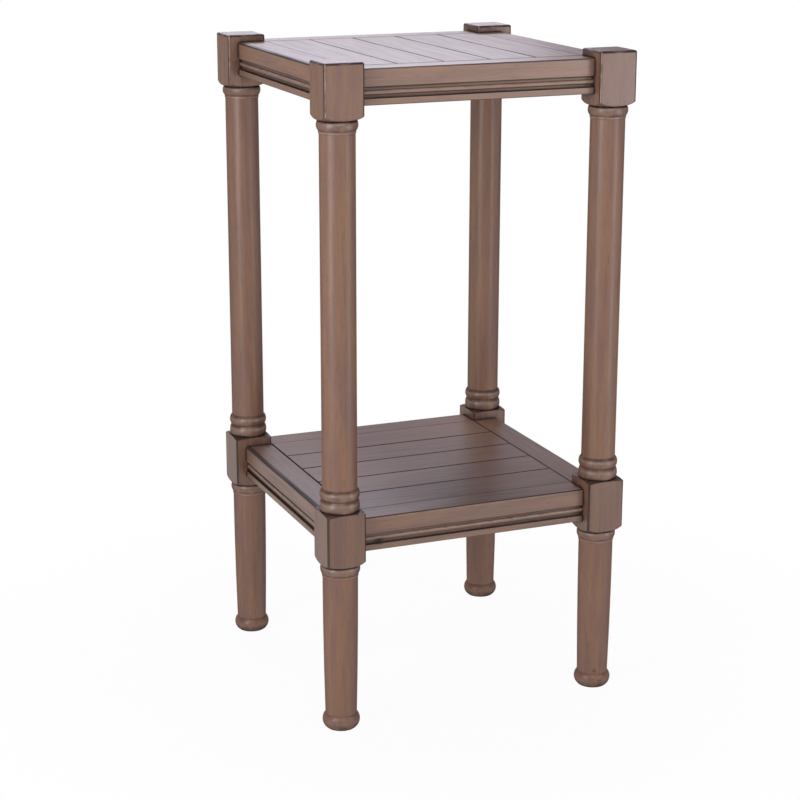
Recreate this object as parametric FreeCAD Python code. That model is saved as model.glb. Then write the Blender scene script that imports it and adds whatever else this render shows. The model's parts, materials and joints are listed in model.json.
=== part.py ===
import FreeCAD, Part
import math
import os

from collections import namedtuple

from FreeCAD import Placement, Rotation, Vector

# End table with a shelf: four turned posts carry two framed plank decks on moulded aprons.
# Millimetres, +Z up, origin on the floor under the middle of the table.
# The front faces -Y, and +X is to the right of someone who looks at the front.

# Overall size, from block face to block face and from the floor to the top of the posts
table_width = 350.0
table_depth = 350.0
table_height = 720.0

# Post blank and its two square blocks
post_side = 43.5
arris_radius = 2.5
upper_block_height = 58.0
lower_block_height = 59.0
lower_block_rise = 10.0
pommel_rise = 6.0
pommel_fall = 2.0

# Turned column and its beads
column_diameter = 37.5
bead_diameter = 43.0
bead_base_depth = 1.0
bead_notch_depth = 1.9
quirk_depth = 2.4
quirk_height = 1.2
top_bead_height = 10.0
twin_bead_height = 12.0
collar_bead_height = 10.0
fillet_height = 2.4
fillet_step = 0.6

# Turned leg and foot
knee_diameter = 38.2
ankle_diameter = 34.4
leg_belly_share = 0.74
foot_ring_diameter = 40.8
foot_ring_height = 18.0
foot_base_diameter = 32.0

# Decks: heights, boards and the joints between them
top_drop = 8.0
shelf_height = 239.0
deck_inset = 12.0
board_thickness = 18.0
board_edge_radius = 2.0
plank_count = 5
plank_chamfer = 1.3
border_chamfer = 0.5
tongue_length = 6.0
tongue_thickness = 6.0
tongue_clearance = 0.2

# Moulded aprons
apron_height = 19.0
apron_thickness = 18.0
apron_band_height = 6.6
apron_bead_height = 4.7
apron_bead_setback = 0.8
apron_groove_height = 3.7
apron_groove_depth = 3.0
apron_band_ease = 0.8

# Dowels between the aprons and the post blocks
dowel_diameter = 8.0
dowel_post_depth = 10.0
dowel_apron_depth = 20.0
dowel_clearance = 0.15
dowel_end_room = 0.5

# Corner braces, with the hanger bolts that pull the posts in
brace_height = 17.0
brace_thickness = 20.0
brace_gap = 2.0
brace_screw_edge = 4.6
seat_depth = 4.0
seat_room = 1.0
bolt_diameter = 6.0
bolt_embedment = 28.0
bolt_end_length = 4.0
bolt_clearance = 0.2
brace_hole_clearance = 0.5
washer_diameter = 14.0
washer_thickness = 1.5
nut_flats = 10.0
nut_height = 5.0

# Battens under the planks
batten_width = 40.0
batten_thickness = 16.0

# Countersunk wood screws
screw_diameter = 4.0
screw_head_diameter = 8.0
screw_head_height = 2.4
screw_bite = 12.0
screw_clearance = 0.15

# Nail-on glides under the feet
glide_diameter = 24.0
glide_thickness = 1.6
glide_edge_ease = 0.6
glide_nail_diameter = 2.6
glide_nail_length = 12.0
glide_nail_clearance = 0.15

# How far a cutting shape runs past the face that it cuts
overrun = 1.0

# Places worked out from the sizes above
half_width = table_width / 2
half_depth = table_depth / 2
field_width = table_width - 2 * post_side
field_depth = table_depth - 2 * post_side
border_width = post_side - deck_inset
top_surface = table_height - top_drop
lower_block_top = shelf_height + lower_block_rise
lower_block_bottom = lower_block_top - lower_block_height
upper_block_bottom = table_height - upper_block_height
diagonal = math.sqrt(2)

# Sides of each corner: -1 is left or front, 1 is right or back
CORNERS = {
    "front_left": (-1, -1),
    "front_right": (1, -1),
    "back_left": (-1, 1),
    "back_right": (1, 1),
}

# Sides of the table, in the order that quarter turns take a piece from the right-hand side
SIDES = ("right", "back", "left", "front")

# A deck's planks run along Y, or along X after one quarter turn
Deck = namedtuple("Deck", "name surface turns across along")
DECKS = (
    Deck("top", top_surface, 0, field_width, field_depth),
    Deck("shelf", shelf_height, 1, field_depth, field_width),
)


class Outline:
    """A closed chain of lines and arcs in the XZ plane, given as pairs of x and z."""

    def __init__(self, x, z):
        self.start = Vector(x, 0, z)
        self.end = self.start
        self.edges = []

    def line(self, x, z):
        point = Vector(x, 0, z)
        self.edges.append(Part.LineSegment(self.end, point).toShape())
        self.end = point

    def arc(self, middle_x, middle_z, x, z):
        point = Vector(x, 0, z)
        self.edges.append(Part.Arc(self.end, Vector(middle_x, 0, middle_z), point).toShape())
        self.end = point

    def face(self):
        self.line(self.start.x, self.start.z)
        return Part.Face(Part.Wire(self.edges))

    def turned(self):
        """The outline swept once round the Z axis."""
        return self.face().revolve(Vector(0, 0, 0), Vector(0, 0, 1), 360)

    def extruded(self, length):
        """The outline stretched along Y, with half the length on each side of the XZ plane."""
        face = self.face()
        face.translate(Vector(0, -length / 2, 0))
        return face.extrude(Vector(0, length, 0))


def box(x_low, x_high, y_low, y_high, z_low, z_high):
    return Part.makeBox(x_high - x_low, y_high - y_low, z_high - z_low, Vector(x_low, y_low, z_low))


def aimed(shape, origin, direction):
    """A copy with its own +Z turned to the direction and its own origin moved to the point."""
    copy = shape.copy()
    copy.Placement = Placement(origin, Rotation(Vector(0, 0, 1), direction))
    return copy


def spun(shape, quarter_turns):
    """A copy turned about the middle of the table, anticlockwise from above."""
    copy = shape.copy()
    copy.rotate(Vector(0, 0, 0), Vector(0, 0, 1), 90 * quarter_turns)
    return copy


def raised(shape, height):
    copy = shape.copy()
    copy.translate(Vector(0, 0, height))
    return copy


def bored(shape, cutters):
    """The shape less those cutters that can reach it."""
    near = [cutter for cutter in cutters if cutter.BoundBox.intersect(shape.BoundBox)]
    return shape.cut(near) if near else shape


# Posts

def pommel_middle(quirk_radius, corner_radius, height):
    """Radius and height of the middle of a shoulder: level beside the quirk and steep at the corners."""
    reach = corner_radius - quirk_radius
    radius = (reach ** 2 + height ** 2) / (2 * height)
    half_angle = math.asin(reach / radius) / 2
    return quirk_radius + radius * math.sin(half_angle), radius * (1 - math.cos(half_angle))


def turn_pommel_up(outline, block_bottom, quirk_radius, corner_radius):
    """Rounded shoulder under a square block, from the quirk out to the block's corners."""
    middle_radius, middle_rise = pommel_middle(quirk_radius, corner_radius, pommel_rise)
    outline.arc(middle_radius, block_bottom + middle_rise, corner_radius, block_bottom + pommel_rise)


def turn_pommel_down(outline, block_top, quirk_radius, corner_radius):
    """Flatter shoulder on top of a square block, from the block's corners in to the quirk."""
    middle_radius, middle_fall = pommel_middle(quirk_radius, corner_radius, pommel_fall)
    outline.line(corner_radius, block_top - pommel_fall)
    outline.arc(middle_radius, block_top - middle_fall, quirk_radius, block_top)


def turn_leg(outline, leg_top):
    """Foot ring and swelling leg, from the floor up."""
    knee_radius = knee_diameter / 2
    ankle_radius = ankle_diameter / 2
    belly_radius = ankle_radius + leg_belly_share * (knee_radius - ankle_radius)
    ring_middle = (glide_thickness + foot_ring_height) / 2
    outline.line(foot_base_diameter / 2, glide_thickness)
    outline.arc(foot_ring_diameter / 2, ring_middle, ankle_radius, foot_ring_height)
    outline.arc(belly_radius, (foot_ring_height + leg_top) / 2, knee_radius, leg_top)


def turn_bead_under_block(outline, shaft_radius, block_bottom, bead_height):
    """Fillet, bead and quirk between a round shaft and the square block above it."""
    bead_radius = bead_diameter / 2
    quirk_radius = bead_radius - quirk_depth
    bead_top = block_bottom - quirk_height
    bead_bottom = bead_top - bead_height
    outline.line(shaft_radius + fillet_step, bead_bottom - fillet_height)
    outline.line(shaft_radius + fillet_step, bead_bottom)
    outline.arc(bead_radius, (bead_bottom + bead_top) / 2, bead_radius - bead_base_depth, bead_top)
    outline.line(quirk_radius, bead_top)
    outline.line(quirk_radius, block_bottom)


def turn_twin_beads(outline):
    """Quirk and two stacked beads between the lower block and the column above it."""
    bead_radius = bead_diameter / 2
    base = lower_block_top + quirk_height
    notch = base + twin_bead_height
    top = notch + twin_bead_height
    outline.line(bead_radius - quirk_depth, base)
    outline.line(bead_radius - bead_base_depth, base)
    outline.arc(bead_radius, (base + notch) / 2, bead_radius - bead_notch_depth, notch)
    outline.arc(bead_radius, (notch + top) / 2, column_diameter / 2, top)


def turned_post():
    """The post on its own axis, as it leaves the lathe: the turned outline held within the square blank."""
    quirk_radius = bead_diameter / 2 - quirk_depth
    corner_radius = post_side * diagonal / 2
    leg_top = lower_block_bottom - quirk_height - collar_bead_height - fillet_height
    column_top = upper_block_bottom - quirk_height - top_bead_height - fillet_height
    outline = Outline(0, glide_thickness)
    turn_leg(outline, leg_top)
    turn_bead_under_block(outline, knee_diameter / 2, lower_block_bottom, collar_bead_height)
    turn_pommel_up(outline, lower_block_bottom, quirk_radius, corner_radius)
    turn_pommel_down(outline, lower_block_top, quirk_radius, corner_radius)
    turn_twin_beads(outline)
    outline.line(column_diameter / 2, column_top)
    turn_bead_under_block(outline, column_diameter / 2, upper_block_bottom, top_bead_height)
    turn_pommel_up(outline, upper_block_bottom, quirk_radius, corner_radius)
    outline.line(corner_radius, table_height)
    outline.line(0, table_height)
    return outline.turned().common(square_blank())


def square_blank():
    """The blank with its long edges and its top edges eased."""
    half = post_side / 2
    blank = box(-half, half, -half, half, 0, table_height)
    eased = [edge for edge in blank.Edges if edge.BoundBox.ZMax > overrun]
    return blank.makeFillet(arris_radius, eased)


def inward(sign_x, sign_y):
    """Direction from a corner of the table towards its middle, at 45 degrees to the sides."""
    return Vector(-sign_x / diagonal, -sign_y / diagonal, 0)


def seat_point(sign_x, sign_y, height):
    """Middle of the flat that the hanger bolt needs on the inner corner of a post block."""
    corner = Vector(sign_x * field_width / 2, sign_y * field_depth / 2, height)
    return corner - inward(sign_x, sign_y) * seat_depth


def bolt_seat_cutters(sign_x, sign_y, board_bottom):
    """Flat across the inner corner of a block, as high as the brace, and the bolt's hole behind it."""
    direction = inward(sign_x, sign_y)
    flat_low = board_bottom - brace_height - seat_room
    flat = box(0, seat_depth + overrun, -post_side / 2, post_side / 2, 0, board_bottom - flat_low)
    flat.Placement = Placement(seat_point(sign_x, sign_y, flat_low), Rotation(Vector(1, 0, 0), direction))
    depth = bolt_embedment + bolt_clearance
    hole = Part.makeCylinder(bolt_diameter / 2 + bolt_clearance, depth + overrun)
    start = seat_point(sign_x, sign_y, board_bottom - brace_height / 2) - direction * depth
    return [flat, aimed(hole, start, direction)]


def dowel_places(sign_x, sign_y, board_bottom):
    """Point on each inner face of a post block where a dowel crosses it, with the way to the apron."""
    height = board_bottom - apron_height / 2
    apron_x = half_width - deck_inset - apron_thickness / 2
    apron_y = half_depth - deck_inset - apron_thickness / 2
    along_x = Vector(sign_x * field_width / 2, sign_y * apron_y, height), Vector(-sign_x, 0, 0)
    along_y = Vector(sign_x * apron_x, sign_y * field_depth / 2, height), Vector(0, -sign_y, 0)
    return along_x, along_y


def dowel_cutter(point, direction):
    """Hole for one dowel, through the joint between a block and an apron."""
    post_depth = dowel_post_depth + dowel_end_room
    length = post_depth + dowel_apron_depth + dowel_end_room
    hole = Part.makeCylinder(dowel_diameter / 2 + dowel_clearance, length)
    return aimed(hole, point - direction * post_depth, direction)


def post(sign_x, sign_y):
    shape = turned_post()
    shape.translate(Vector(sign_x * (half_width - post_side / 2), sign_y * (half_depth - post_side / 2), 0))
    cutters = [glide_nail(sign_x, sign_y, glide_nail_clearance)]
    for surface in (top_surface, shelf_height):
        board_bottom = surface - board_thickness
        cutters += bolt_seat_cutters(sign_x, sign_y, board_bottom)
        cutters += [dowel_cutter(*place) for place in dowel_places(sign_x, sign_y, board_bottom)]
    return bored(shape, cutters)


# Glides

def glide_nail(sign_x, sign_y, clearance):
    place = Vector(sign_x * (half_width - post_side / 2), sign_y * (half_depth - post_side / 2), 0)
    length = glide_thickness + glide_nail_length + clearance
    return Part.makeCylinder(glide_nail_diameter / 2 + clearance, length, place)


def glide(sign_x, sign_y):
    """Round pad with an eased lower edge and a nail up into the foot."""
    nail_radius = glide_nail_diameter / 2
    nail_top = glide_thickness + glide_nail_length
    outline = Outline(0, 0)
    outline.line(glide_diameter / 2 - glide_edge_ease, 0)
    outline.line(glide_diameter / 2, glide_edge_ease)
    outline.line(glide_diameter / 2, glide_thickness)
    outline.line(nail_radius, glide_thickness)
    outline.line(nail_radius, nail_top)
    outline.line(0, nail_top)
    pad = outline.turned()
    pad.translate(Vector(sign_x * (half_width - post_side / 2), sign_y * (half_depth - post_side / 2), 0))
    return pad


# Boards, drawn with their upper face at height 0 and placed by quarter turns

def edge_joint(x, outwards, joint):
    """Points of a tongue or a groove on one edge of a board, from below to above."""
    if joint is None:
        return []
    middle = -board_thickness / 2
    clearance = 0 if joint == "tongue" else tongue_clearance
    half_thickness = tongue_thickness / 2 + clearance
    reach = tongue_length if joint == "tongue" else -tongue_length - clearance
    low = middle - half_thickness
    high = middle + half_thickness
    return [(x, low), (x + outwards * reach, low), (x + outwards * reach, high), (x, high)]


def plank_section(x_low, x_high, low_joint, high_joint, low_chamfer, high_chamfer):
    outline = Outline(x_low, -board_thickness)
    outline.line(x_high, -board_thickness)
    for point in edge_joint(x_high, 1, high_joint):
        outline.line(*point)
    outline.line(x_high, -high_chamfer)
    outline.line(x_high - high_chamfer, 0)
    outline.line(x_low + low_chamfer, 0)
    outline.line(x_low, -low_chamfer)
    for point in reversed(edge_joint(x_low, -1, low_joint)):
        outline.line(*point)
    return outline


def plank(index, deck):
    """One plank: grooved on one edge, tongued on the other and on both ends."""
    width = deck.across / plank_count
    x_low = index * width - deck.across / 2
    x_high = x_low + width
    y_end = deck.along / 2
    low_chamfer = border_chamfer if index == 0 else plank_chamfer
    high_chamfer = border_chamfer if index == plank_count - 1 else plank_chamfer
    edges = plank_section(x_low, x_high, "groove", "tongue", low_chamfer, high_chamfer)
    ends = plank_section(-y_end, y_end, "tongue", "tongue", plank_chamfer, plank_chamfer)
    shape = edges.extruded(deck.along + 2 * tongue_length)
    shape = shape.common(spun(ends.extruded(2 * deck.across), 1))
    tip = y_end + tongue_length + overrun
    tongue_corner = box(x_high, x_high + tongue_length + overrun, y_end, tip, -board_thickness, 0)
    other_corner = box(x_high, x_high + tongue_length + overrun, -tip, -y_end, -board_thickness, 0)
    return shape.cut([tongue_corner, other_corner])


def border_board(inner_edge, length, joint, chamfer):
    """Board beside the planks on the +X side, with its outer upper edge rounded."""
    outer_edge = inner_edge + border_width
    bevel_share = 1 - 1 / diagonal
    outline = Outline(inner_edge, -board_thickness)
    outline.line(outer_edge, -board_thickness)
    outline.line(outer_edge, -board_edge_radius)
    outline.arc(outer_edge - bevel_share * board_edge_radius, -bevel_share * board_edge_radius,
                outer_edge - board_edge_radius, 0)
    outline.line(inner_edge + chamfer, 0)
    outline.line(inner_edge, -chamfer)
    for point in reversed(edge_joint(inner_edge, -1, joint)):
        outline.line(*point)
    return outline.extruded(length)


def deck_boards(deck):
    """Planks, side boards and end boards of one deck, by name, in their places."""
    boards = {f"plank_{index + 1}": plank(index, deck) for index in range(plank_count)}
    side = {turns: SIDES[(turns + deck.turns) % len(SIDES)] for turns in range(len(SIDES))}
    for turns, joint in ((0, "groove"), (2, "tongue")):
        board = border_board(deck.across / 2, deck.along, joint, border_chamfer)
        boards["side_board_" + side[turns]] = spun(board, turns)
    for turns in (1, 3):
        board = border_board(deck.along / 2, deck.across, "groove", plank_chamfer)
        boards["end_board_" + side[turns]] = spun(board, turns)
    return {name: raised(spun(board, deck.turns), deck.surface) for name, board in boards.items()}


# Aprons and battens under a deck

def apron(half_size, length):
    """Moulded rail on the +X side: a bead between two grooves, over a flat band."""
    inner = half_size - deck_inset - apron_thickness
    face = half_size - deck_inset
    groove = face - apron_groove_depth
    band_top = apron_band_height - apron_height
    bead_bottom = band_top + apron_groove_height
    bead_top = bead_bottom + apron_bead_height
    outline = Outline(inner, 0)
    outline.line(groove, 0)
    outline.line(groove, bead_top)
    outline.arc(face - apron_bead_setback, (bead_bottom + bead_top) / 2, groove, bead_bottom)
    outline.line(groove, band_top)
    outline.line(face, band_top)
    outline.line(face, apron_band_ease - apron_height)
    outline.line(face - apron_band_ease, -apron_height)
    outline.line(inner, -apron_height)
    return outline.extruded(length)


def deck_aprons(deck):
    board_bottom = deck.surface - board_thickness
    sizes = ((half_width, field_depth), (half_depth, field_width))
    aprons = {}
    for turns, side in enumerate(SIDES):
        rail = raised(spun(apron(*sizes[turns % len(sizes)]), turns), board_bottom)
        aprons["apron_" + side] = bored(rail, dowel_cutters(deck))
    return aprons


def batten(deck):
    """Cross rail under the planks, from apron to apron."""
    half_length = deck.across / 2 + post_side - deck_inset - apron_thickness
    shape = box(-half_length, half_length, -batten_width / 2, batten_width / 2, -batten_thickness, 0)
    return raised(spun(shape, deck.turns), deck.surface - board_thickness)


# Corner braces and their hardware

def brace_middle(sign_x, sign_y, height):
    return seat_point(sign_x, sign_y, height) + inward(sign_x, sign_y) * (brace_gap + brace_thickness / 2)


def brace(sign_x, sign_y, board_bottom):
    """Wedge across a corner, held by its two ends against the inner faces of the aprons."""
    inner_x = half_width - deck_inset - apron_thickness
    inner_y = half_depth - deck_inset - apron_thickness
    direction = inward(sign_x, sign_y)
    low = board_bottom - brace_height
    room = box(-inner_x, inner_x, -inner_y, inner_y, low, board_bottom)
    slab = box(-brace_thickness / 2, brace_thickness / 2, -inner_x, inner_x, 0, brace_height)
    slab.Placement = Placement(brace_middle(sign_x, sign_y, low), Rotation(Vector(1, 0, 0), direction))
    hole = Part.makeCylinder(bolt_diameter / 2 + brace_hole_clearance, brace_thickness + 2 * overrun)
    middle = brace_middle(sign_x, sign_y, low + brace_height / 2)
    start = middle - direction * (brace_thickness / 2 + overrun)
    return slab.common(room).cut(aimed(hole, start, direction))


def hanger_bolt(seat, direction):
    """Bolt from inside the post through the brace, washer and nut."""
    length = bolt_embedment + brace_gap + brace_thickness + washer_thickness + nut_height + bolt_end_length
    return aimed(Part.makeCylinder(bolt_diameter / 2, length), seat - direction * bolt_embedment, direction)


def hanger_washer(seat, direction):
    ring = Part.makeCylinder(washer_diameter / 2, washer_thickness)
    ring = ring.cut(Part.makeCylinder(bolt_diameter / 2 + brace_hole_clearance, washer_thickness))
    return aimed(ring, seat + direction * (brace_gap + brace_thickness), direction)


def hanger_nut(seat, direction):
    corner_radius = nut_flats / math.sqrt(3)
    angles = [math.radians(60 * step) for step in range(7)]
    rim = [Vector(corner_radius * math.cos(angle), corner_radius * math.sin(angle), 0) for angle in angles]
    prism = Part.Face(Part.makePolygon(rim)).extrude(Vector(0, 0, nut_height))
    prism = prism.cut(Part.makeCylinder(bolt_diameter / 2 + bolt_clearance, nut_height))
    return aimed(prism, seat + direction * (brace_gap + brace_thickness + washer_thickness), direction)


def dowel(point, direction):
    """Round pin, part in the post block and part in the apron."""
    pin = Part.makeCylinder(dowel_diameter / 2, dowel_post_depth + dowel_apron_depth)
    return aimed(pin, point - direction * dowel_post_depth, direction)


def deck_dowel_places(deck):
    board_bottom = deck.surface - board_thickness
    return [place for signs in CORNERS.values() for place in dowel_places(*signs, board_bottom)]


def dowel_cutters(deck):
    return [dowel_cutter(*place) for place in deck_dowel_places(deck)]


# Screws, all driven upwards

def screw(place, carrier_thickness, clearance):
    """Countersunk screw through a carrier into the board above it, or its hole with some clearance."""
    radius = screw_diameter / 2 + clearance
    length = carrier_thickness + screw_bite + clearance
    outline = Outline(0, 0)
    outline.line(screw_head_diameter / 2 + clearance, 0)
    outline.line(radius, screw_head_height + clearance)
    outline.line(radius, length)
    outline.line(0, length)
    shape = outline.turned()
    shape.translate(place)
    return shape


def brace_screw_places(deck):
    """Two screws in each brace, one beside each apron."""
    low = deck.surface - board_thickness - brace_height
    edge_x = half_width - deck_inset - apron_thickness - brace_screw_edge
    edge_y = half_depth - deck_inset - apron_thickness - brace_screw_edge
    places = []
    for sign_x, sign_y in CORNERS.values():
        middle = brace_middle(sign_x, sign_y, low)
        step_x = edge_x - abs(middle.x)
        step_y = edge_y - abs(middle.y)
        places.append(middle + Vector(sign_x * step_x, -sign_y * step_x, 0))
        places.append(middle + Vector(-sign_x * step_y, sign_y * step_y, 0))
    return places


def batten_screw_places(deck):
    """One screw in the middle of each plank."""
    low = deck.surface - board_thickness - batten_thickness
    width = deck.across / plank_count
    turn = Rotation(Vector(0, 0, 1), 90 * deck.turns)
    middles = [(index + 1 / 2) * width - deck.across / 2 for index in range(plank_count)]
    return [turn.multVec(Vector(middle, 0, low)) for middle in middles]


def deck_screws(deck, clearance):
    in_braces = [screw(place, brace_height, clearance) for place in brace_screw_places(deck)]
    in_batten = [screw(place, batten_thickness, clearance) for place in batten_screw_places(deck)]
    return in_braces, in_batten


# All nodes

def deck_nodes(deck):
    """Every piece of one deck, by node name."""
    board_bottom = deck.surface - board_thickness
    pieces = deck_boards(deck)
    pieces["batten"] = batten(deck)
    for corner, signs in CORNERS.items():
        pieces["brace_" + corner] = brace(*signs, board_bottom)
    brace_holes, batten_holes = deck_screws(deck, screw_clearance)
    pieces = {name: bored(piece, brace_holes + batten_holes) for name, piece in pieces.items()}
    pieces.update(deck_aprons(deck))
    brace_screws, batten_screws = deck_screws(deck, 0)
    bolt_middle = board_bottom - brace_height / 2
    hangers = [(seat_point(*signs, bolt_middle), inward(*signs)) for signs in CORNERS.values()]
    groups = {
        "brace_screws": brace_screws,
        "batten_screws": batten_screws,
        "apron_dowels": [dowel(*place) for place in deck_dowel_places(deck)],
        "hanger_bolts": [hanger_bolt(*hanger) for hanger in hangers],
        "hanger_washers": [hanger_washer(*hanger) for hanger in hangers],
        "hanger_nuts": [hanger_nut(*hanger) for hanger in hangers],
    }
    pieces.update({name: Part.makeCompound(solids) for name, solids in groups.items()})
    return {f"{deck.name}_{name}": piece for name, piece in pieces.items()}


def table_nodes():
    nodes = {"post_" + corner: post(*signs) for corner, signs in CORNERS.items()}
    nodes["foot_glides"] = Part.makeCompound([glide(*signs) for signs in CORNERS.values()])
    for deck in DECKS:
        nodes.update(deck_nodes(deck))
    return nodes


def main():
    os.makedirs("parts", exist_ok=True)
    for name, shape in table_nodes().items():
        shape.exportStep(os.path.join("parts", name + ".step"))


main()
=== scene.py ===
import json
import math
from typing import Callable, NamedTuple

import bpy
from mathutils import Matrix, Vector


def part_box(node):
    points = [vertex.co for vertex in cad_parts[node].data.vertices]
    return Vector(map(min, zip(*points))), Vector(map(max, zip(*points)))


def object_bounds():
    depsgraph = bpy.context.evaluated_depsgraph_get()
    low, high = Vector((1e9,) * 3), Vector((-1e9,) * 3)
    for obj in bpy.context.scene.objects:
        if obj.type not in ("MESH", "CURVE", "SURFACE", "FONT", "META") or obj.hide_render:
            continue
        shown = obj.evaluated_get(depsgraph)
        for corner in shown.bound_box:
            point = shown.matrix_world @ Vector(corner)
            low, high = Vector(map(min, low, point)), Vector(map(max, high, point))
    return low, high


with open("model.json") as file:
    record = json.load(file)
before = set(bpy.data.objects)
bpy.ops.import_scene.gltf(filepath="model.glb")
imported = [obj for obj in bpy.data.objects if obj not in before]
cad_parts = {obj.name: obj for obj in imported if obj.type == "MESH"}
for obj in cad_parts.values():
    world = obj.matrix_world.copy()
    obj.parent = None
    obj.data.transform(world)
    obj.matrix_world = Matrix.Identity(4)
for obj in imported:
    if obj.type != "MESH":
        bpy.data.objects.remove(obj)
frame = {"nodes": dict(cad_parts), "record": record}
cad_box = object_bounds()

# End table with a shelf: stained and glazed wood, dressed on the solids of the frame.
# Metres, in the frame's own axes: +Z up, the front faces -Y.
# A span gives the value at which a mark or a change starts, and the value at which it is full.

# Camera: degrees, metres and the picture's own pixels
picture_side = 800
focal_pixels = 2032.5
camera_azimuth = -22.475
camera_elevation = 15.7
camera_roll = 0.08
camera_distance = 2.3116
aim_right = -0.0196
aim_up = -0.0449
sensor_width_mm = 36.0

# Turned forms of a post and the moulding of an apron
upper_block_height = 0.058
lower_block_height = 0.059
lower_block_rise = 0.010
bead_radius = 0.0215
bead_drop = 0.0047
fillet_drop = 0.0130
twin_bead_rises = (0.0072, 0.0192)
apron_bead_rise = 0.0138

# Places on the table, from the frame and the sizes above
table_middle = (cad_box[0] + cad_box[1]) / 2
post_low, post_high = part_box("post_front_right")
post_half = (post_high.x - post_low.x) / 2
post_axis = (post_high.x + post_low.x) / 2
front_right_foot = Vector((post_axis, -post_axis, 0))
deck_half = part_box("top_side_board_right")[1].x
deck_levels = [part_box(deck + "_plank_1")[1].z for deck in ("top", "shelf")]
top_level, shelf_level = deck_levels
apron_corners = [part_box(deck + "_apron_front")[0] for deck in ("top", "shelf")]
shelf_apron_corner = apron_corners[1]
apron_bead_levels = [corner.z + apron_bead_rise for corner in apron_corners]
shelf_middle = (shelf_level + shelf_apron_corner.z) / 2
upper_block_bottom = post_high.z - upper_block_height
lower_block_top = shelf_level + lower_block_rise
block_bottoms = [upper_block_bottom, lower_block_top - lower_block_height]
fillet_levels = [bottom - fillet_drop for bottom in block_bottoms]
bead_levels = [bottom - bead_drop for bottom in block_bottoms]
bead_levels += [lower_block_top + rise for rise in twin_bead_rises]


class Noise(NamedTuple):
    """Marks of a noise: how long and how wide they are, how fine in detail and how wavy."""
    length: float
    width: float
    detail: float
    distortion: float = 0.0


# Grain of the wood: its marks, where they show and how strong they are
mottle_noise = Noise(length=0.10, width=0.009, detail=3.0)
mottle_span = (0.36, 0.64)
streak_noise = Noise(length=0.09, width=0.0026, detail=4.0, distortion=0.3)
streak_span = (0.50, 0.80)
streak_share = 0.42
pore_noise = Noise(length=0.014, width=0.0005, detail=2.0)
pore_span = (0.56, 0.72)
pore_share = 0.5
blotch_noise = Noise(length=0.011, width=0.011, detail=2.0)
board_shift = 7.0
bump_height = 0.00012
grain_bump_strength = 0.35
noise_span = (0.3, 0.7)

# Hidden wood, zinc-plated steel and moulded plastic
plain_streak_noise = streak_noise._replace(distortion=0.0)
plain_streak_span = (0.35, 0.7)
plain_dark_share = 0.6
plain_roughness = (0.6, 0.8)
spangle_noise = Noise(length=0.003, width=0.003, detail=3.0)
scratch_noise = Noise(length=0.004, width=0.0003, detail=2.0)
zinc_dull_share = 0.75
zinc_bump_strength = 0.15
zinc_roughness = (0.25, 0.45)
mould_noise = Noise(length=0.0006, width=0.0006, detail=2.0)
plastic_pale_share = 1.6
plastic_bump_strength = 0.2
plastic_roughness = (0.5, 0.65)

# Colours, linear
post_stains = ((0.226, 0.116, 0.067), (0.186, 0.095, 0.066))
board_stains = ((0.264, 0.145, 0.088), (0.219, 0.121, 0.086))
inner_stain = post_stains[1]
streak_stain = (0.105, 0.060, 0.044)
pore_stain = (0.070, 0.043, 0.034)
# Pale colour of the painted highlights on crests, lips and an arris
painted_highlight_colour = (0.37, 0.27, 0.215)
# Dark glaze colour, also used for the painted shade
glaze_and_shade_colour = (0.036, 0.027, 0.026)
bare_beech = (0.45, 0.30, 0.17)
zinc = (0.62, 0.63, 0.65)
glide_black = (0.022, 0.020, 0.019)
studio_white = (1.0, 1.0, 1.0)
day_white = (0.88, 0.88, 1.0)

# Dark glaze in hollows and on creases, and painted shade in hollows, in corners, where parts meet and over
# the shelf
# Dark glaze and painted shade in hollows and where parts meet
hollow_reach = 0.0042
hollow_span = (0.12, 0.36)
hollow_samples = 12
# Glaze and painted shade that spread from inner corners and where parts meet
corner_shade_reach = 0.016
corner_shade_span = (0.05, 0.42)
corner_glaze_and_shade_share = 0.28
post_corner_glaze_and_shade_share = 0.6
patch_span = (0.25, 0.6)
patch_least_share = 0.8
blotch_span = (0.35, 0.6)
blotch_least_share = 0.3
crease_reach = 0.0014
crease_span = (0.997, 0.965)
crease_share = 0.5
crease_samples = 8
bead_zone_span = (0.0075, 0.0050)
bead_hollow_span = (0.0004, 0.0018)
bead_hollow_share = 0.7
bead_smear_share = 0.3
shoulder_span = (0.0050, 0.0030)
shoulder_share = 0.85
# Painted shade over the shelf and the lower blocks, deeper towards the shelf's front
shelf_shade_band_span = (0.036, 0.028)
shelf_shade_share = 0.22
front_shelf_shade_share = 0.58

# Dark glaze along edges, and painted shade on faces that face down: how far from them it reaches, and on
# which slopes it lies
arris_span = (0.0028, 0.0016)
rim_span = (0.0030, 0.0016)
flank_inset_span = (0.0054, 0.0040)
flank_drop_span = (0.0026, 0.0016)
front_inset_span = (0.0030, 0.0022)
front_drop_span = (0.0010, 0.0005)
joint_span = (0.995, 0.90)
joint_inset = 0.0036
# Painted shade on faces that face down
underside_shade_span = (-0.55, -0.75)
edge_share = 0.88
underside_shade_share = 0.7


class Mark(NamedTuple):
    """Knock or smear that holds glaze: its offset from a point of the table, half its size, its share."""
    offset: tuple
    half_size: tuple
    share: float


# Marks at the front right foot, and from the low left corner of the shelf's front apron
foot_marks = [
    Mark(offset=(-0.00525, -0.01605, 0.0225), half_size=(0.0040, 0.0060, 0.0040), share=0.75),
    Mark(offset=(-0.00025, -0.02015, 0.0120), half_size=(0.0045, 0.0060, 0.0030), share=0.7),
]
apron_marks = [Mark(offset=(0.0195, 0.0020, 0.0095), half_size=(0.0140, 0.0100, 0.0075), share=1.0)]

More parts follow.
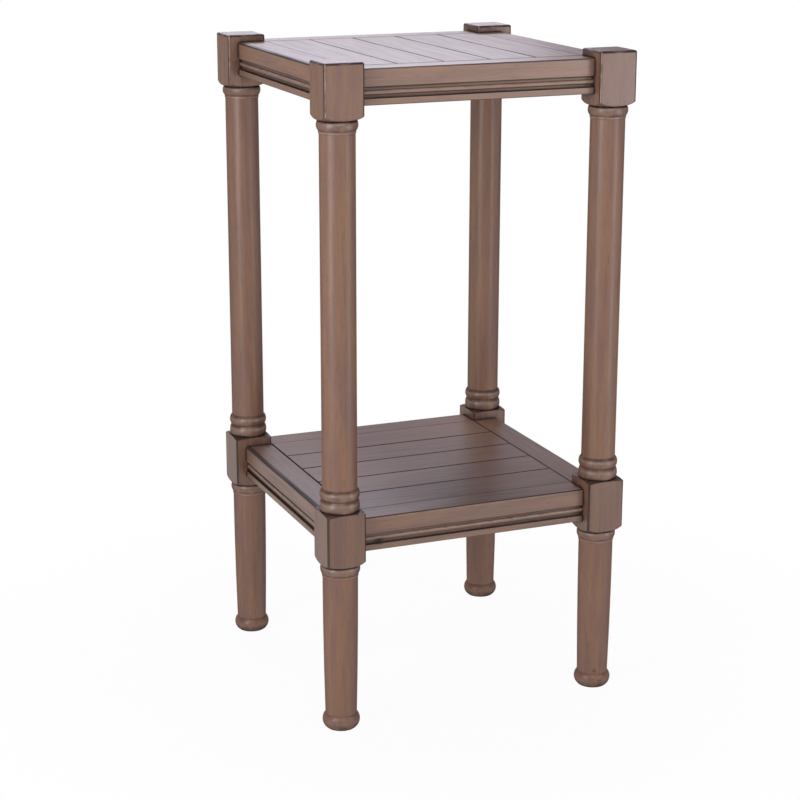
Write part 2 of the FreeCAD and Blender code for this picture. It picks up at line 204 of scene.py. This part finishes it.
# Painted highlights on crests and edges
highlight_patch_span = (0.38, 0.60)
highlight_least_share = 0.4
crest_depth_span = (0.0009, 0.0002)
crest_slope_span = (0.02, 0.28)
crest_highlight_share = 0.35
fillet_span = (0.0014, 0.0006)
fillet_highlight_share = 0.42
arris_highlight_span = (-0.12, -0.30)
arris_highlight_side_span = (-0.80, -0.62)
arris_highlight_front_span = (-0.40, -0.60)
arris_highlight_share = 0.8
block_margin = 0.004
bead_crest_span = (0.0017, 0.0006)
bead_crest_highlight_share = 0.6
lip_inset_span = (0.0010, 0.0005)
lip_drop_low_span = (0.0008, 0.0011)
lip_drop_high_span = (0.0026, 0.0018)
lip_highlight_share = 0.25

# Satin lacquer
column_gloss = 0.45
bead_gloss = 0.85
bead_span = (0.0200, 0.0212)
block_gloss = 0.72
block_span = (0.02155, 0.0218)
board_side_gloss = 0.8
column_sheen = 0.02
side_sheen_ends = (0.30, 0.06)
dull_span = (0.25, 0.65)
post_top_gloss = 0.65
top_gloss_ends = (0.56, 0.34)
shelf_gloss_ends = (1.0, 0.55)
apron_level_gloss = 0.4
level_span = (0.6, 0.9)
wood_roughness = (0.33, 0.42)


class Softbox(NamedTuple):
    """Rectangular lamp: its turn from the camera's side and its elevation in degrees, metres and watts."""
    turn: float
    elevation: float
    distance: float
    width: float
    height: float
    power: float
    colour: tuple


softboxes = {
    "left_softbox": Softbox(
        turn=-39, elevation=14, distance=1.5, width=0.55, height=1.2, power=11, colour=studio_white),
    "right_softbox": Softbox(
        turn=60, elevation=3, distance=1.2, width=0.30, height=1.2, power=4.0, colour=studio_white),
    "front_softbox": Softbox(
        turn=10, elevation=28, distance=2.0, width=1.3, height=1.0, power=10.2, colour=studio_white),
    "back_softbox": Softbox(
        turn=199, elevation=33, distance=1.6, width=1.5, height=0.45, power=9, colour=day_white),
    "overhead_softbox": Softbox(
        turn=180, elevation=75, distance=1.8, width=1.2, height=1.2, power=10, colour=day_white),
}

# Room
floor_half = 6.0
floor_albedo = 0.88
floor_glow_share = 0.96
shadow_span = (0.25, 0.75)
wall = (0.25, 0.28, 0.40)
wall_span = (0.0, 0.10)
upper_wall = (0.10, 0.10, 0.125)
upper_wall_span = (0.27, 0.34)


class Shader:
    """The node tree of a material or a world, with short ways to add and link its nodes."""

    def __init__(self, owner):
        self.owner = owner
        owner.use_nodes = True
        self.tree = owner.node_tree
        self.tree.nodes.clear()

    def feed(self, socket, value):
        """Gives an input a value or another node's output. A plain colour is opaque."""
        if isinstance(value, bpy.types.NodeSocket):
            self.tree.links.new(value, socket)
        elif socket.type == "RGBA":
            socket.default_value = (*value, 1.0)
        else:
            socket.default_value = value

    def add(self, kind, inputs=None, **settings):
        """A new node with its settings, and with inputs that are named or numbered."""
        made = self.tree.nodes.new(kind)
        for name, value in settings.items():
            setattr(made, name, value)
        for name, value in (inputs or {}).items():
            self.feed(made.inputs[name], value)
        return made

    def ranged(self, value, span, to=(0.0, 1.0)):
        """The value's stretch over a span, spread smoothly over another span."""
        inputs = {"Value": value, "From Min": span[0], "From Max": span[1],
                  "To Min": to[0], "To Max": to[1]}
        made = self.add("ShaderNodeMapRange", inputs, interpolation_type="SMOOTHSTEP")
        return made.outputs["Result"]

    def math(self, operation, *values):
        """One operation on one value, or on more values taken two at a time."""
        result = values[0]
        for value in values[1:] or [None]:
            inputs = {0: result} if value is None else {0: result, 1: value}
            result = self.add("ShaderNodeMath", inputs, operation=operation).outputs["Value"]
        return result

    def vector(self, operation, *values):
        """One operation on one vector or two."""
        made = self.add("ShaderNodeVectorMath", dict(enumerate(values)), operation=operation)
        return made.outputs["Vector"]

    def length(self, vector):
        """How long a vector is."""
        return self.add("ShaderNodeVectorMath", {0: vector}, operation="LENGTH").outputs["Value"]

    def parts(self, vector):
        """The X, Y and Z of a vector."""
        return self.add("ShaderNodeSeparateXYZ", {"Vector": vector}).outputs

    def place(self):
        """The point in the frame's own axes."""
        return self.add("ShaderNodeTexCoord").outputs["Object"]

    def height(self):
        """How high the point is above the floor."""
        return self.parts(self.place())["Z"]

    def normal(self):
        """The direction that the surface faces."""
        return self.add("ShaderNodeNewGeometry").outputs["Normal"]

    def facing_up(self):
        """1 on a level face, 0 on an upright one and -1 underneath."""
        return self.parts(self.normal())["Z"]

    def mixed(self, share, first, second):
        """Two colours mixed by a share."""
        made = self.add("ShaderNodeMix", data_type="RGBA")
        sockets = {socket.identifier: socket for socket in made.inputs}
        self.feed(sockets["Factor_Float"], share)
        self.feed(sockets["A_Color"], first)
        self.feed(sockets["B_Color"], second)
        return next(socket for socket in made.outputs if socket.identifier == "Result_Color")

    def blended(self, share, first, second):
        """Two surfaces blended by a share."""
        return self.add("ShaderNodeMixShader", {0: share, 1: first, 2: second}).outputs["Shader"]

    def bump(self, relief, strength, sunk=False):
        """Normal of a surface with a fine relief, raised or sunk."""
        inputs = {"Height": relief, "Distance": bump_height, "Strength": strength}
        return self.add("ShaderNodeBump", inputs, invert=sunk).outputs["Normal"]

    def coated(self, inputs):
        """The material, with one surface all over."""
        return self.finish(self.add("ShaderNodeBsdfPrincipled", inputs).outputs["BSDF"])

    def finish(self, surface):
        """The material, once its surface is set."""
        self.add("ShaderNodeOutputMaterial", {"Surface": surface})
        return self.owner


# Grain

def board_place(shader):
    """The point, moved for each board by its own random number so that no two boards match."""
    own = shader.add("ShaderNodeObjectInfo").outputs["Random"]
    shift = shader.add("ShaderNodeCombineXYZ", {"X": own, "Y": own, "Z": own}).outputs["Vector"]
    far = shader.vector("MULTIPLY", shift, (board_shift,) * 3)
    return shader.vector("ADD", shader.place(), far)


def grain_noise(shader, place, axis, marks):
    """Noise whose marks are long along one axis and narrow across it."""
    scale = [1 / marks.width] * 3
    scale["XYZ".index(axis)] = 1 / marks.length
    stretched = shader.add("ShaderNodeMapping", {"Vector": place, "Scale": scale}).outputs["Vector"]
    inputs = {"Vector": stretched, "Scale": 1.0, "Detail": marks.detail, "Distortion": marks.distortion}
    return shader.add("ShaderNodeTexNoise", inputs).outputs["Fac"]


# Places of glaze, painted shade, painted highlights and gloss that all the wood shares

def nearness(shader, reach):
    """0 on an open flat, and more the deeper in a hollow or a corner."""
    made = shader.add("ShaderNodeAmbientOcclusion", {"Distance": reach}, samples=hollow_samples)
    return shader.math("SUBTRACT", 1.0, made.outputs["AO"])


def corner_glaze_and_shade(shader, share=corner_glaze_and_shade_share):
    """Share of smeared glaze and painted shade in inner corners and where parts meet."""
    return shader.ranged(nearness(shader, corner_shade_reach), corner_shade_span, (0.0, share))


def marked(shader, origin, marks):
    """Share of glaze in some knocks and smears, whose offsets start at a point of the table."""
    shares = []
    for mark in marks:
        offset = shader.vector("SUBTRACT", shader.place(), origin + Vector(mark.offset))
        away = shader.length(shader.vector("DIVIDE", offset, mark.half_size))
        shares.append(shader.ranged(away, (1.0, 0.0), (0.0, mark.share)))
    return shader.math("MAXIMUM", 0.0, *shares)


def off_levels(shader, levels):
    """How far a point is above or below the nearest of some levels."""
    height = shader.height()
    gaps = [shader.math("ABSOLUTE", shader.math("SUBTRACT", height, level)) for level in levels]
    return shader.math("MINIMUM", *gaps)


def side_sheen(shader):
    """Gloss of flat sides that are seen along their face: more at the shelf than at the top."""
    return shader.ranged(shader.height(), (lower_block_top, upper_block_bottom), side_sheen_ends)


def gloss(shader, facing_gloss, sheen, level_gloss):
    """Lacquer that shines on level faces and on upright ones that face the eye, and less along them."""
    facing = shader.add("ShaderNodeLayerWeight").outputs["Facing"]
    upright = shader.ranged(facing, dull_span, (facing_gloss, sheen))
    return shader.ranged(shader.facing_up(), level_span, (upright, level_gloss))


# Boards of the decks

def deck_insets(shader):
    """How far a point of a deck is inside its left or right edge, and inside its front or back edge."""
    side = shader.parts(shader.vector("ABSOLUTE", shader.place()))
    return [shader.math("SUBTRACT", deck_half, side[axis]) for axis in ("X", "Y")]


def board_edges(shader):
    """Glaze on the chamfers of the joints, and along the left, front and back edges of a deck."""
    slope = shader.parts(shader.vector("ABSOLUTE", shader.normal()))
    square = shader.math("MAXIMUM", slope["X"], slope["Y"], slope["Z"])
    inset_x, inset_y = deck_insets(shader)
    drop = off_levels(shader, deck_levels)
    inner = shader.math("GREATER_THAN", shader.math("MINIMUM", inset_x, inset_y), joint_inset)
    joints = shader.math("MULTIPLY", inner, shader.ranged(square, joint_span))
    left_inset = shader.math("ADD", shader.parts(shader.place())["X"], deck_half)
    flank = shader.math("MULTIPLY", shader.ranged(left_inset, flank_inset_span),
                        shader.ranged(drop, flank_drop_span))
    front = shader.math("MULTIPLY", shader.ranged(inset_y, front_inset_span),
                        shader.ranged(drop, front_drop_span))
    return shader.math("MULTIPLY", shader.math("MAXIMUM", joints, flank, front), edge_share)


def board_painted_highlights(shader):
    """Painted highlight: a light lip under the dark line along the front and back edges of a deck."""
    drop = off_levels(shader, deck_levels)
    return shader.math("MULTIPLY", shader.ranged(deck_insets(shader)[1], lip_inset_span),
                       shader.ranged(drop, lip_drop_low_span),
                       shader.ranged(drop, lip_drop_high_span), lip_highlight_share)


def board_gloss(shader):
    """Lacquer whose level faces shine more to the left, on the shelf most of all."""
    place = shader.parts(shader.place())
    top_gloss = shader.ranged(place["X"], (-deck_half, deck_half), top_gloss_ends)
    shelf_gloss = shader.ranged(place["X"], (-deck_half, 0.0), shelf_gloss_ends)
    level_gloss = shader.ranged(place["Z"], (shelf_level, top_level), (shelf_gloss, top_gloss))
    return gloss(shader, board_side_gloss, side_sheen(shader), level_gloss)


# Aprons

def apron_edges(shader):
    """Glaze in a smear, and painted shade under the bead and along the bottom edge, which face down."""
    underside_shade = shader.ranged(shader.facing_up(), underside_shade_span, (0.0, underside_shade_share))
    return shader.math("MAXIMUM", underside_shade, marked(shader, shelf_apron_corner, apron_marks))


def apron_painted_highlights(shader):
    """Painted highlight on the crest of the bead."""
    crest = shader.ranged(off_levels(shader, apron_bead_levels), bead_crest_span)
    rising = shader.ranged(shader.facing_up(), crest_slope_span)
    return shader.math("MULTIPLY", crest, rising, bead_crest_highlight_share)


def apron_gloss(shader):
    """Lacquer that shines as the boards' edges do, and less on the moulding's level faces."""
    return gloss(shader, board_side_gloss, side_sheen(shader), apron_level_gloss)


# Posts

def post_offsets(shader):
    """How far a point of a post is from the post's own axis, along X and along Y."""
    place = shader.parts(shader.place())
    offsets = []
    for axis in ("X", "Y"):
        own = shader.math("MULTIPLY", shader.math("SIGN", place[axis]), post_axis)
        offsets.append(shader.math("ABSOLUTE", shader.math("SUBTRACT", place[axis], own)))
    return offsets


def post_radius(shader):
    """How far a point of a post is from the post's axis."""
    x, y = post_offsets(shader)
    return shader.length(shader.add("ShaderNodeCombineXYZ", {"X": x, "Y": y}).outputs["Vector"])


def bead_depth(shader):
    """How far a point of a post is inside the round of the beads' crests."""
    return shader.math("SUBTRACT", bead_radius, post_radius(shader))


def creases(shader):
    """Share of glaze on a crease: where the normal differs from the mean of those round it."""
    bevel = shader.add("ShaderNodeBevel", {"Radius": crease_reach}, samples=crease_samples)
    normals = {0: bevel.outputs["Normal"], 1: shader.normal()}
    alike = shader.add("ShaderNodeVectorMath", normals, operation="DOT_PRODUCT").outputs["Value"]
    return shader.ranged(alike, crease_span, (0.0, crease_share))


def post_edges(shader):
    """Glaze along the arrises of a post's blocks, round its top and on its creases."""
    x, y = post_offsets(shader)
    from_arris = shader.math("SUBTRACT", post_half, shader.math("MINIMUM", x, y))
    from_face = shader.math("SUBTRACT", post_half, shader.math("MAXIMUM", x, y))
    from_rim = shader.math("ADD", from_face, off_levels(shader, [post_high.z]))
    arris = shader.ranged(from_arris, arris_span, (0.0, edge_share))
    rim = shader.ranged(from_rim, rim_span, (0.0, edge_share))
    return shader.math("MAXIMUM", arris, rim, creases(shader))


def post_glaze_and_shade(shader):
    """Glaze smeared on the beads, most of all beside them, and on the lower blocks' shoulders; glaze and
    painted shade in corners; knocks.
    """
    at_beads = shader.ranged(off_levels(shader, bead_levels), bead_zone_span)
    bead_shares = (bead_smear_share, bead_hollow_share)
    beads = shader.math("MULTIPLY", at_beads,
                        shader.ranged(bead_depth(shader), bead_hollow_span, bead_shares))
    at_block_top = shader.ranged(off_levels(shader, [lower_block_top]), shoulder_span)
    level = shader.ranged(shader.facing_up(), level_span, (0.0, shoulder_share))
    shoulder = shader.math("MULTIPLY", level, at_block_top)
    corners = corner_glaze_and_shade(shader, post_corner_glaze_and_shade_share)
    knocks = marked(shader, front_right_foot, foot_marks)
    return shader.math("MAXIMUM", corners, beads, shoulder, knocks)


def post_painted_highlights(shader):
    """Painted highlights on the beads' crests, on the lips under them, and on the front half of the upper
    blocks' left arris.
    """
    slope = shader.parts(shader.normal())
    at_crest = shader.ranged(shader.math("ABSOLUTE", bead_depth(shader)), crest_depth_span)
    crest = shader.math("MULTIPLY", at_crest, shader.ranged(slope["Z"], crest_slope_span), crest_highlight_share)
    lip = shader.ranged(off_levels(shader, fillet_levels), fillet_span, (0.0, fillet_highlight_share))
    upper_span = (upper_block_bottom, upper_block_bottom + block_margin)
    arris = shader.math("MULTIPLY", shader.ranged(slope["X"], arris_highlight_span),
                        shader.ranged(slope["X"], arris_highlight_side_span),
                        shader.ranged(slope["Y"], arris_highlight_front_span),
                        shader.ranged(shader.height(), upper_span), arris_highlight_share)
    return shader.math("MAXIMUM", crest, lip, arris)


def post_gloss(shader):
    """Lacquer that shines more on the beads and the blocks than on the column and the leg."""
    radius = post_radius(shader)
    turned_gloss = shader.ranged(radius, bead_span, (column_gloss, bead_gloss))
    facing_gloss = shader.ranged(radius, block_span, (turned_gloss, block_gloss))
    sheen = shader.ranged(radius, block_span, (column_sheen, side_sheen(shader)))
    return gloss(shader, facing_gloss, sheen, post_top_gloss)


# Glaze and painted shade as a whole

def shelf_painted_shade(shader):
    """Share of painted shade on the shelf and the lower blocks, deeper towards the shelf's front and
    fading to the shelf's sides.
    """
    zone = shader.ranged(off_levels(shader, [shelf_middle]), shelf_shade_band_span)
    place = shader.parts(shader.place())
    front_share = shader.ranged(place["Y"], (-deck_half, 0.0), (front_shelf_shade_share, shelf_shade_share))
    level_share = shader.ranged(deck_insets(shader)[0], (0.0, deck_half), (0.0, front_share))
    share = shader.ranged(shader.facing_up(), level_span, (shelf_shade_share, level_share))
    return shader.math("MULTIPLY", zone, share)


def glaze_and_shade_share(shader, wood, streaks, blotches):
    """How much dark glaze and painted shade there is: in hollows, along edges and undersides, in blotchy
    smears and on the shelf.
    """
    # Glaze and painted shade in hollows and where parts meet
    hollow_glaze_and_shade = shader.ranged(nearness(shader, hollow_reach), hollow_span)
    blotch = shader.ranged(blotches, blotch_span, (blotch_least_share, 1.0))
    smeared_glaze_and_shade = shader.math("MULTIPLY", wood.smeared_glaze_and_shade(shader), blotch)
    most = shader.math("MAXIMUM", hollow_glaze_and_shade, wood.edges(shader), smeared_glaze_and_shade, shelf_painted_shade(shader))
    return shader.math("MULTIPLY", most, shader.ranged(streaks, patch_span, (patch_least_share, 1.0)))


# Materials

class Wood(NamedTuple):
    """A kind of piece: its two stains, its glaze along edges and painted shade under aprons, its glaze and
    painted shade in smears, its painted highlights and its gloss.
    """
    stains: tuple
    edges: Callable
    smeared_glaze_and_shade: Callable
    painted_highlights: Callable
    gloss: Callable


post_wood = Wood(post_stains, post_edges, post_glaze_and_shade, post_painted_highlights, post_gloss)
deck_wood = Wood(board_stains, board_edges, corner_glaze_and_shade, board_painted_highlights, board_gloss)
apron_wood = Wood(board_stains, apron_edges, corner_glaze_and_shade, apron_painted_highlights, apron_gloss)


def scaled(colour, share):
    """A colour made darker or paler."""
    return tuple(part * share for part in colour)


def stained_wood(name, axis, wood):
    """Wood stained in two browns, with pores, dark glaze, painted shade, painted highlights and satin
    lacquer.
    """
    shader = Shader(bpy.data.materials.new(name))
    place = board_place(shader)
    mottle = grain_noise(shader, place, axis, mottle_noise)
    streaks = grain_noise(shader, place, axis, streak_noise)
    pores = grain_noise(shader, place, axis, pore_noise)
    blotches = grain_noise(shader, place, axis, blotch_noise)
    glaze_and_shade = glaze_and_shade_share(shader, wood, streaks, blotches)
    highlight_patches = shader.ranged(blotches, highlight_patch_span, (highlight_least_share, 1.0))
    highlighted = shader.math("MULTIPLY", wood.painted_highlights(shader), highlight_patches)
    colour = shader.mixed(shader.ranged(mottle, mottle_span), *wood.stains)
    colour = shader.mixed(shader.ranged(streaks, streak_span, (0.0, streak_share)), colour, streak_stain)
    colour = shader.mixed(shader.ranged(pores, pore_span, (0.0, pore_share)), colour, pore_stain)
    # Dark glaze, with painted shade in hollows, corners, undersides and over the shelf
    colour = shader.mixed(glaze_and_shade, colour, glaze_and_shade_colour)
    # Painted highlights: a paler colour in patches on crests, lips and an arris
    colour = shader.mixed(highlighted, colour, painted_highlight_colour)
    clean = shader.math("SUBTRACT", 1.0, glaze_and_shade)
    relief = shader.math("ADD", streaks, pores)
    return shader.coated({
        "Base Color": colour,
        "Roughness": shader.ranged(streaks, noise_span, wood_roughness),
        "Specular IOR Level": shader.math("MULTIPLY", wood.gloss(shader), clean),
        "Normal": shader.bump(relief, grain_bump_strength, sunk=True)})


def plain_wood(name, axis, tone):
    """Bare or thinly stained wood of hidden pieces."""
    shader = Shader(bpy.data.materials.new(name))
    place = board_place(shader)
    streaks = grain_noise(shader, place, axis, plain_streak_noise)
    pores = grain_noise(shader, place, axis, pore_noise)
    colour = shader.mixed(shader.ranged(streaks, plain_streak_span), tone, scaled(tone, plain_dark_share))
    return shader.coated({
        "Base Color": colour,
        "Roughness": shader.ranged(pores, noise_span, plain_roughness),
        "Normal": shader.bump(pores, grain_bump_strength, sunk=True)})


def zinc_plate(name):
    """Zinc-plated steel with a fine cloudy spangle and faint scratches."""
    shader = Shader(bpy.data.materials.new(name))
    place = board_place(shader)
    spangle = grain_noise(shader, place, "Z", spangle_noise)
    scratches = grain_noise(shader, place, "X", scratch_noise)
    colour = shader.mixed(shader.ranged(spangle, noise_span), zinc, scaled(zinc, zinc_dull_share))
    return shader.coated({
        "Base Color": colour,
        "Metallic": 1.0,
        "Roughness": shader.ranged(scratches, noise_span, zinc_roughness),
        "Normal": shader.bump(scratches, zinc_bump_strength)})


def moulded_plastic(name):
    """Matte black plastic with a fine moulded grain."""
    shader = Shader(bpy.data.materials.new(name))
    grain = grain_noise(shader, board_place(shader), "Z", mould_noise)
    pale = scaled(glide_black, plastic_pale_share)
    colour = shader.mixed(shader.ranged(grain, noise_span), glide_black, pale)
    return shader.coated({
        "Base Color": colour,
        "Roughness": shader.ranged(grain, noise_span, plastic_roughness),
        "Normal": shader.bump(grain, plastic_bump_strength)})


def slot_materials():
    """One material for each of the record's slots."""
    made = {"post_wood": stained_wood("post_wood", "Z", post_wood)}
    kinds = {"plank_wood": deck_wood, "border_wood": deck_wood, "apron_wood": apron_wood}
    for kind, wood in kinds.items():
        for axis in "XY":
            name = f"{kind}_along_{axis.lower()}"
            made[name] = stained_wood(name, axis, wood)
    made["inner_wood"] = plain_wood("inner_wood", "X", inner_stain)
    made["dowel_wood"] = plain_wood("dowel_wood", "X", bare_beech)
    made["zinc_steel"] = zinc_plate("zinc_steel")
    made["glide_plastic"] = moulded_plastic("glide_plastic")
    return made


def dress_nodes():
    """Each solid of the frame gets the material of its slot."""
    materials = slot_materials()
    slots = {part["node"]: part["material_slot"] for part in frame["record"]["subparts"]}
    for name, piece in frame["nodes"].items():
        piece.data.materials.clear()
        piece.data.materials.append(materials[slots[name]])


# Camera, lamps and room

def outwards(azimuth, elevation):
    """The direction from the table at an azimuth and an elevation in degrees."""
    turn, rise = math.radians(azimuth), math.radians(elevation)
    return Vector((math.sin(turn) * math.cos(rise), -math.cos(turn) * math.cos(rise), math.sin(rise)))


def camera_axes():
    """The camera's right, up and back directions."""
    back = outwards(camera_azimuth, camera_elevation)
    azimuth, roll = math.radians(camera_azimuth), math.radians(camera_roll)
    level = Vector((math.cos(azimuth), math.sin(azimuth), 0))
    rise = back.cross(level)
    right = level * math.cos(roll) + rise * math.sin(roll)
    up = rise * math.cos(roll) - level * math.sin(roll)
    return right, up, back


def add_camera():
    """Camera in front of the table, to its left and a little above it."""
    right, up, back = camera_axes()
    data = bpy.data.cameras.new("camera")
    data.sensor_width = sensor_width_mm
    data.lens = focal_pixels / picture_side * sensor_width_mm
    camera = bpy.data.objects.new("camera", data)
    place = table_middle + right * aim_right + up * aim_up + back * camera_distance
    camera.matrix_world = Matrix.Translation(place) @ Matrix((right, up, back)).transposed().to_4x4()
    bpy.context.scene.collection.objects.link(camera)
    bpy.context.scene.camera = camera


def add_softbox(name, box):
    """Soft rectangular lamp aimed at the middle of the table."""
    away = outwards(camera_azimuth + box.turn, box.elevation)
    data = bpy.data.lights.new(name, "AREA")
    data.shape = "RECTANGLE"
    data.size, data.size_y = box.width, box.height
    data.energy = box.power
    data.color = box.colour
    lamp = bpy.data.objects.new(name, data)
    lamp.location = table_middle + away * box.distance
    lamp.rotation_mode = "QUATERNION"
    lamp.rotation_quaternion = away.to_track_quat("Z", "Y")
    bpy.context.scene.collection.objects.link(lamp)


def seen_directly(shader):
    """1 for rays that show the background: straight from the camera, or by way of gloss or glass."""
    path = shader.add("ShaderNodeLightPath").outputs
    passed_on = shader.math("MAXIMUM", path["Is Glossy Ray"], path["Is Transmission Ray"])
    return shader.math("MAXIMUM", path["Is Camera Ray"], passed_on)


def floor_finish():
    """Pale matte material, white in view, with a trace of shadow near the table, and clear from below."""
    shader = Shader(bpy.data.materials.new("floor"))
    pale = shader.add("ShaderNodeBsdfDiffuse", {"Color": (floor_albedo,) * 3})
    glow = shader.add("ShaderNodeEmission", {"Color": studio_white, "Strength": 1.0})
    glow_share = shader.ranged(shader.length(shader.place()), shadow_span, (floor_glow_share, 1.0))
    share = shader.math("MULTIPLY", seen_directly(shader), glow_share)
    upper = shader.blended(share, pale.outputs["BSDF"], glow.outputs["Emission"])
    clear = shader.add("ShaderNodeBsdfTransparent")
    below = shader.add("ShaderNodeNewGeometry").outputs["Backfacing"]
    return shader.finish(shader.blended(below, upper, clear.outputs["BSDF"]))


def add_floor():
    """Level square under the table."""
    mesh = bpy.data.meshes.new("floor")
    corners = [(x, y, 0) for x, y in ((-1, -1), (1, -1), (1, 1), (-1, 1))]
    mesh.from_pydata([Vector(corner) * floor_half for corner in corners], [], [(0, 1, 2, 3)])
    mesh.materials.append(floor_finish())
    floor = bpy.data.objects.new("floor", mesh)
    bpy.context.scene.collection.objects.link(floor)


def add_world():
    """White room whose walls fade to a cool grey a little above the floor, and darken higher up."""
    world = bpy.data.worlds.new("studio")
    bpy.context.scene.world = world
    shader = Shader(world)
    height = shader.parts(shader.add("ShaderNodeTexCoord").outputs["Generated"])["Z"]
    colour = shader.mixed(shader.ranged(height, wall_span), studio_white, wall)
    colour = shader.mixed(shader.ranged(height, upper_wall_span), colour, upper_wall)
    back = shader.add("ShaderNodeBackground", {"Color": colour, "Strength": 1.0})
    shader.add("ShaderNodeOutputWorld", {"Surface": back.outputs["Background"]})


dress_nodes()
add_camera()
add_floor()
add_world()
for name, box in softboxes.items():
    add_softbox(name, box)
bpy.context.scene.view_settings.view_transform = "Standard"
